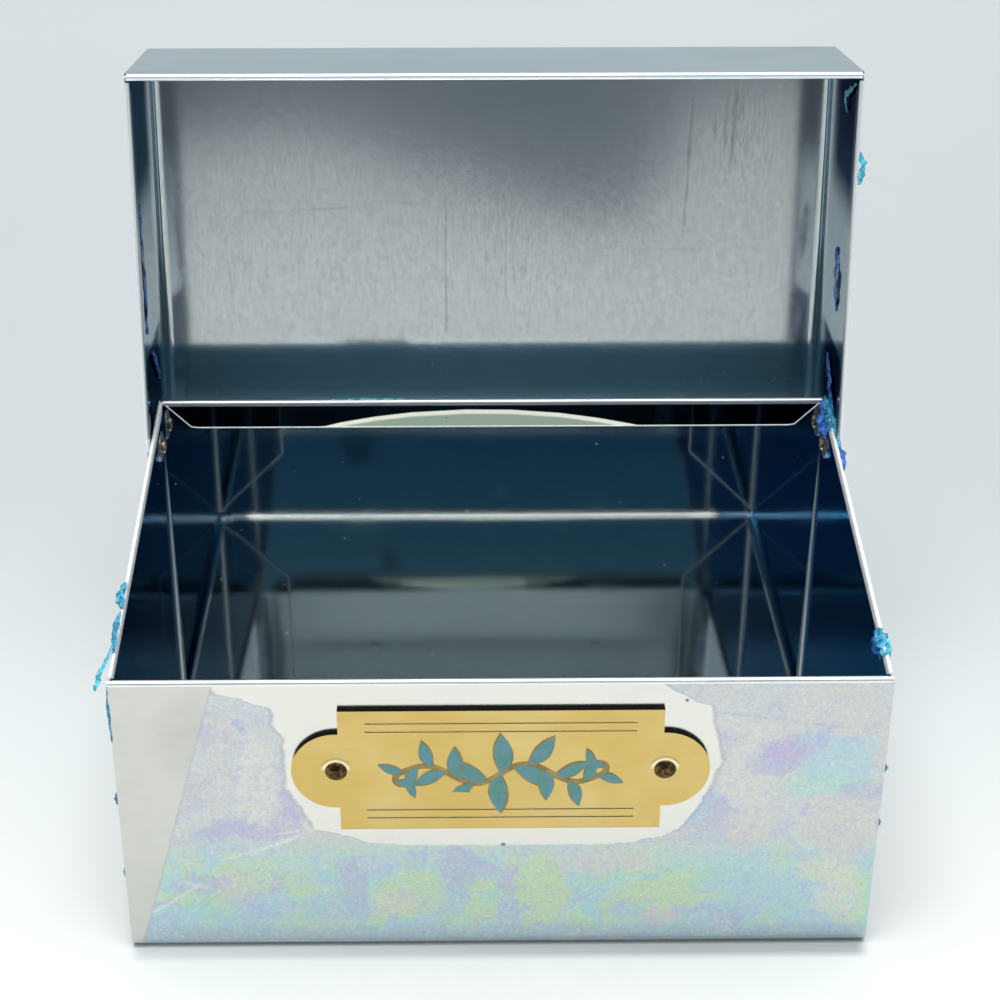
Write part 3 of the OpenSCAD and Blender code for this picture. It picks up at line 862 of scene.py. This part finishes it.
def makeBurrs():
    material, shader, place = newMaterial("shornEdge")
    glint = noise(place, 800, 3, 0.6)
    feed(shader, BaseColor=blend(glint.rise(0.4, 0.6), burr["colour"], (0.97, 0.97, 0.95)),
         Metallic=0.3, Roughness=glint * 0.3 + burr["rough"] - 0.15)
    feed(shader, Normal=bumped(glint * 0.00003))
    tree, keys = burrTree(material)
    bodyRuns, lidRuns = [], []
    for side in (-1, 1):
        bodyRuns.append([(side * x, y, z) for x, y, z in burr["frontTab"]])
        lidRuns.append([onLid(side * x, y, z) for x, y, z in burr["lidHem"]])
    for deep, foot in burr["endHemFoot"]:
        bodyRuns.append([(x, deep, foot + above) for x, above in burr["endHem"]])
    values = {"Radius": burr["radius"] * millimetre, "Step": burr["step"] * millimetre}
    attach(grow("body_edge_burr", linesMesh("bodyEdges", bodyRuns), tree, keys, values), "body")
    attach(grow("lid_edge_burr", linesMesh("lidEdges", lidRuns), tree, keys, values), "lid")


makeBurrs()
print("edge burrs finished")


# the enamelled sprig on the nameplate
sprig = {
    "middle": (0, 41.4),  # across and up on the plate, millimetres
    "reach": 21.5,
    "wave": 2.3,
    "steps": 40,
    "curl": 1.9,  # how wide the tips curl
    "curlTurn": 4.2,
    "curlSteps": 18,
    "leaves": 10,
    "leafLong": 8.6,
    "leafWide": 4.2,
    "teal": (0.10, 0.29, 0.26),
    "tealBlue": (0.12, 0.30, 0.36),
    "outline": (0.30, 0.19, 0.05),
    "outlinePale": (0.42, 0.28, 0.08),
    "face": -42.5,  # the plate's front
}


def leafShape(wires, wide, long):
    # a pointed leaf lying flat, its foot at the origin and its tip along x
    disc = wires["Lift"].add("GeometryNodeMeshCircle", {"fill_type": "NGON"},
                             {"Vertices": 26, "Radius": 1})
    x, y = parts(disc.add("GeometryNodeInputPosition"))[:2]
    along = (x + 1) / 2
    belly = (along * (1.02 - along)).atLeast(0) ** 0.62 * 1.9
    where = x.add("ShaderNodeCombineXYZ", None,
                  {0: along * long - wires["Margin"],
                   1: y * belly * wide * 0.5 + along * along * wide * 0.45, 2: 0})
    disc = disc.add("GeometryNodeSetPosition", None, {"Geometry": disc, "Position": where})
    return disc


def sprigTree(material):
    tree, wires, keys = nodeTree("leafySprig", {
        "Leaves": 9, "Leaf Long": 0.007, "Leaf Wide": 0.0027, "Margin": 0.0, "Lift": 0.0001})
    line = wires["Geometry"].add("GeometryNodeMeshToCurve", None, {"Mesh": wires["Geometry"]})
    smooth = line.add("GeometryNodeResampleCurve", None, {"Curve": line, "Count": 70})
    # the stem, a flat band that narrows to its tip
    along = line.add("GeometryNodeSplineParameter")
    stem = smooth.add("GeometryNodeSetCurveRadius", None,
                      {"Curve": smooth, "Radius": 1.25 - along * 0.7})
    ring = stem.add("GeometryNodeCurvePrimitiveCircle", None,
                    {"Resolution": 8, "Radius": wires["Margin"] + 0.0003})
    stem = stem.add("GeometryNodeCurveToMesh", None,
                    {"Curve": stem, "Profile Curve": ring, "Fill Caps": True})
    stem = stem.add("GeometryNodeTransform", None, {"Geometry": stem, "Scale": (1, 1, 0.1)})
    # leaves, left and right by turns, smaller towards the tip
    knots = line.add("GeometryNodeResampleCurve", None, {"Curve": line, "Count": wires["Leaves"]})
    tangent = line.add("GeometryNodeInputTangent")
    turned = tangent.add("FunctionNodeAlignEulerToVector", {"axis": "X"}, {"Vector": tangent})
    index = line.add("GeometryNodeInputIndex")
    # each leaf a hair higher than the last, so that none lies in another's face
    hair = index.add("ShaderNodeCombineXYZ", None, {0: 0, 1: 0, 2: index * 0.000004})
    knots = knots.add("GeometryNodeSetPosition", None, {"Geometry": knots, "Offset": hair})
    swap = index.sum("MODULO", index, 2) * 2 - 1
    lean = index.add("ShaderNodeCombineXYZ", None, {0: 0, 1: 0, 2: swap * -0.75})
    turned = turned.add("FunctionNodeRotateEuler", {"space": "LOCAL"},
                        {"Rotation": turned, "Rotate By": lean})
    shrink = 1 - along * 0.55
    size = shrink.add("ShaderNodeCombineXYZ", None, {0: shrink, 1: shrink * swap * -1, 2: 1})
    leaf = leafShape(wires, wires["Leaf Wide"] + wires["Margin"] * 2,
                     wires["Leaf Long"] + wires["Margin"] * 1.6)
    leaf = leaf.add("GeometryNodeExtrudeMesh", {"mode": "FACES"},
                    {"Mesh": leaf, "Offset": (0, 0, 1), "Offset Scale": wires["Lift"]})
    leaves = knots.add("GeometryNodeInstanceOnPoints", None,
                       {"Points": knots, "Instance": leaf, "Rotation": turned, "Scale": size})
    both = stem.add("GeometryNodeJoinGeometry")
    for part in (stem, leaves):
        tree.links.new(part.socket, both.socket.node.inputs[0])
    endTree(both, material)
    return tree, keys


def enamel(name, dark, light):
    material, shader, place = fineMaterial(name)
    cloud = noise(place, 0.35, 4, 0.6)
    colour = blend(cloud.rise(0.42, 0.62), dark, light)
    veins = noise(stretched(place, 1, 1, 0.5), 1.4, 2, 0.6, 0.6).rise(0.6, 0.68)
    colour = blend(veins * 0.35, colour, tuple(c * 0.5 for c in dark))
    feed(shader, BaseColor=colour, Roughness=cloud * 0.2 + 0.25)
    feed(shader, Normal=bumped(cloud * 0.00004))
    return material


def makeSprig():
    runs = []
    for side in (-1, 1):
        run = []
        for i in range(sprig["steps"] + 1):
            t = i / sprig["steps"]
            out = (sprig["reach"] - sprig["curl"] * 2) * t
            up = sprig["wave"] * math.sin(t * 6.0) * (1 - 0.25 * t)
            run.append((side * out, up * side, 0))
        # the tip curls back on itself
        endX, endY = run[-1][0], run[-1][1]
        for i in range(1, sprig["curlSteps"] + 1):
            turn = i / sprig["curlSteps"] * sprig["curlTurn"]
            hub = sprig["curl"] * (1 - i / 26)
            run.append((endX + side * hub * math.sin(turn),
                        endY + side * (sprig["curl"] - hub * math.cos(turn)), 0))
        runs.append(run)
    outline = enamel("enamelOutline", sprig["outline"], sprig["outlinePale"])
    teal = enamel("tealEnamel", sprig["teal"], sprig["tealBlue"])
    layers = (("sprig_outline", outline, 0.3, 0.035), ("sprig_enamel", teal, 0, 0.075))
    for name, material, margin, lift in layers:
        tree, keys = sprigTree(material)
        piece = grow(name, linesMesh(name + "Stem", runs), tree, keys,
                     {"Leaves": sprig["leaves"], "Leaf Long": sprig["leafLong"] * millimetre,
                      "Leaf Wide": sprig["leafWide"] * millimetre, "Margin": margin * millimetre,
                      "Lift": lift * millimetre})
        # stand the flat pattern up on the plate's face
        across, up = sprig["middle"]
        for vertex in piece.data.vertices:
            x, y, z = vertex.co
            vertex.co = (x + across * millimetre, sprig["face"] * millimetre - z,
                         y + up * millimetre)
        rounded = bmesh.new()
        rounded.from_mesh(piece.data)
        bmesh.ops.recalc_face_normals(rounded, faces=rounded.faces)
        rounded.to_mesh(piece.data)
        rounded.free()
        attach(piece, "body")


makeSprig()
print("enamelled sprig finished")


# scraps of protective film left on the edges
scraps = {
    "thick": 0.05,
    # scraps this far out and this high up on the box get a mesh of their own
    "pressedFrom": (60, 58),
    "lidInside": 71,  # scraps nearer to the middle are on the lid's inner faces
    "rows": 22,
    "columns": 5,
    "deep": (0.005, 0.09, 0.36),
    "teal": (0.01, 0.20, 0.34),
    "cyan": (0.03, 0.34, 0.46),
    # finish, body, path in millimetres (the lid's as if shut), width, direction across, crumple
    "pieces": [
        ("teal", "body", [(-69.5, -22.5, 64.6), (-70.1, -19.5, 65.5), (-69.6, -15.5, 65.9)],
         2.2, (1, 0, 0.5), 0.5),
        ("cyan", "body", [(-69.7, -21.5, 64.4), (-70.8, -20, 65), (-70.2, -17.5, 65.6)],
         1.4, (0.8, 0.3, 0.8), 0.5),
        ("teal", "body", [(-69.4, -34, 62.6), (-70, -29, 63.7), (-69.6, -23.5, 64.6)],
         1.7, (1, 0, 0.4), 0.3),
        ("cyan", "body", [(-69.8, -32, 63), (-70.6, -36, 62.3), (-71.4, -39.5, 61.3),
                          (-72, -41.5, 59.4)], 2.1, (0.8, -0.3, 0.7), 0.5),
        ("teal", "body", [(-69.9, -41.5, 60.2), (-70.1, -41.6, 55), (-69.9, -41.5, 48)],
         0.6, (1, 0, 0), 0.2),
        ("teal", "body", [(-69.9, -41.3, 37.2), (-70.3, -41.3, 35.4), (-69.9, -41.3, 33.5)],
         0.8, (1, 0, 0), 0.3),
        ("teal", "body", [(-69.9, -41.2, 19.4), (-70.2, -41.2, 18), (-69.9, -41.2, 16.8)],
         0.6, (1, 0, 0), 0.3),
        ("teal", "body", [(69.2, -35.5, 61.9), (69, -32, 62.6), (69, -28.5, 63.1)],
         3.0, (1, 0, 0.5), 0.6),
        ("deep", "body", [(68.9, -34.5, 60.6), (68.3, -31, 61.2), (68.7, -27.5, 62)],
         2.6, (0.5, 0, 1), 0.5),
        ("cyan", "body", [(69.9, -36.5, 62.2), (70.2, -33, 62.9), (69.9, -30.5, 63.3)],
         1.0, (1, 0, 0.2), 0.3),
        ("teal", "body", [(69.4, 40.8, 75.8), (69.6, 37, 75), (69.8, 33, 74.2), (69.9, 28, 73.2)],
         2.8, (1, 0, 0.3), 0.8),
        ("deep", "body", [(68.6, 40, 75.4), (68.3, 36, 73.4), (68.4, 31, 71.4)],
         3.2, (0.8, 0, 0.7), 0.8),
        ("cyan", "body", [(70.3, 33, 74.2), (70.7, 29, 73.2), (70.2, 25.5, 72.6)],
         1.4, (1, 0, 0.2), 0.6),
        ("deep", "body", [(70, 27, 72.8), (70.2, 22, 72), (70, 17, 71.2)], 1.7, (1, 0, 0.4), 0.3),
        ("teal", "body", [(69.9, -41.3, 42.4), (70.3, -41.3, 41.2), (69.9, -41.3, 40.2)],
         0.7, (1, 0, 0), 0.3),
        ("teal", "body", [(69.9, -41.3, 30), (70.2, -41.3, 28.6), (69.9, -41.3, 27.2)],
         0.7, (1, 0, 0), 0.3),
        ("cyan", "body", [(-34, 41, 75.58), (-26, 41, 75.6), (-18, 41, 75.58)],
         0.85, (0, 1, 0), 0.04),
        ("cyan", "lid", [(70.4, -39.8, 63), (70.2, -38, 68), (70.1, -35.6, 73),
                         (70.3, -33.2, 70.5)], 2.4, (0, 1, 0.3), 0.4),
        ("cyan", "lid", [(71.2, -27.5, 58.6), (71.9, -24.5, 58.8), (71.3, -21, 58.6)],
         1.9, (1, 0, 0.4), 0.5),
        ("deep", "lid", [(70.55, -5, 73), (70.3, 1, 72), (70.55, 8, 70.5)], 4.0, (0, 0, 1), 0.4),
        ("deep", "lid", [(-70.55, -16, 66.5), (-70.4, -6, 66), (-70.4, 3, 67), (-70.55, 11, 66)],
         2.4, (0, 0, 1), 0.4),
        ("deep", "lid", [(-70.4, 16.5, 70), (-70.3, 20, 75), (-70.4, 24, 79)],
         4.5, (0, 1, 0.2), 0.35),
        ("deep", "lid", [(70.4, 18.5, 76), (70.3, 24, 72), (70.4, 29, 67)],
         5.0, (0, 0.3, 1), 0.35),
    ],
}


def filmFinish(name, tint):
    material, shader, place = fineMaterial(name)
    cloud = noise(place, 0.8, 3, 0.6)
    folds = noise(place, 1.9, 2, 0.5, 0.4)
    colour = blend(cloud.rise(0.4, 0.65), tint, tuple(min(1, c * 2 + 0.06) for c in tint))
    colour = blend(folds.rise(0.6, 0.72) * 0.4, colour, (0.75, 0.88, 0.92))
    feed(shader, BaseColor=colour, Roughness=cloud * 0.25 + 0.15,
         Alpha=cloud.rise(0.25, 0.6) * 0.3 + 0.68)
    feed(shader, Normal=bumped(folds * 0.00012))
    return material


def ribbon(name, path, width, across, crumple, seed):
    # a torn, crumpled ribbon of film with a little thickness
    across = Vector(across).normalized()
    points = [Vector(point) for point in path]
    rows, columns = scraps["rows"], scraps["columns"]
    shape = bmesh.new()
    grid = []
    for i in range(rows):
        t = i / (rows - 1) * (len(points) - 1)
        k = min(int(t), len(points) - 2)
        centre = points[k].lerp(points[k + 1], t - k)
        heading = (points[k + 1] - points[k]).normalized()
        proud = heading.cross(across).normalized()
        fade = math.sin(math.pi * (i + 0.7) / (rows + 0.4)) ** 0.5
        row = []
        for j in range(columns):
            side = j / (columns - 1) - 0.5
            torn = 0.75 + 0.7 * mathNoise.noise(Vector((i * 0.45, side * 2.5, seed)))
            rise = mathNoise.noise(Vector((i * 0.33, j * 0.7, seed + 7.5))) * crumple
            corner = centre + across * side * width * fade * torn + proud * rise
            row.append(shape.verts.new(corner * millimetre))
        grid.append(row)
    for i in range(rows - 1):
        for j in range(columns - 1):
            shape.faces.new((grid[i][j], grid[i + 1][j], grid[i + 1][j + 1], grid[i][j + 1]))
    made = bmesh.ops.extrude_face_region(shape, geom=shape.faces[:])
    moved = [v for v in made["geom"] if isinstance(v, bmesh.types.BMVert)]
    shape.normal_update()
    for vertex in moved:
        proud = across.cross(points[-1] - points[0]).normalized()
        vertex.co += proud * scraps["thick"] * millimetre
    bmesh.ops.recalc_face_normals(shape, faces=shape.faces)
    mesh = bpy.data.meshes.new(name)
    shape.to_mesh(mesh)
    shape.free()
    for face in mesh.polygons:
        face.use_smooth = True
    return mesh


def makeScraps():
    finishes = {tint: filmFinish(tint + "Film", scraps[tint]) for tint in ("deep", "teal", "cyan")}
    for number, (tint, body, path, width, across, crumple) in enumerate(scraps["pieces"]):
        if body == "lid":
            foot = Vector(onLid(0, 0, 0))
            across = Vector(onLid(*across)) - foot
            path = [onLid(*point) for point in path]
        name = "film_scrap_%02d" % (number + 1)
        mesh = ribbon(name, path, width, across, crumple, number * 3.1)
        mesh.materials.append(finishes[tint])
        piece = newPiece(name, mesh)
        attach(piece, body)
        # scraps out on the body's rim, and those on the lid's inner faces, each get a mesh of their
        # own
        out, high = scraps["pressedFrom"]
        if body == "body" and abs(path[0][0]) > out and path[0][2] > high:
            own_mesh(piece)
        if body == "lid" and abs(path[0][0]) < scraps["lidInside"]:
            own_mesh(piece)


makeScraps()
print("film scraps finished")
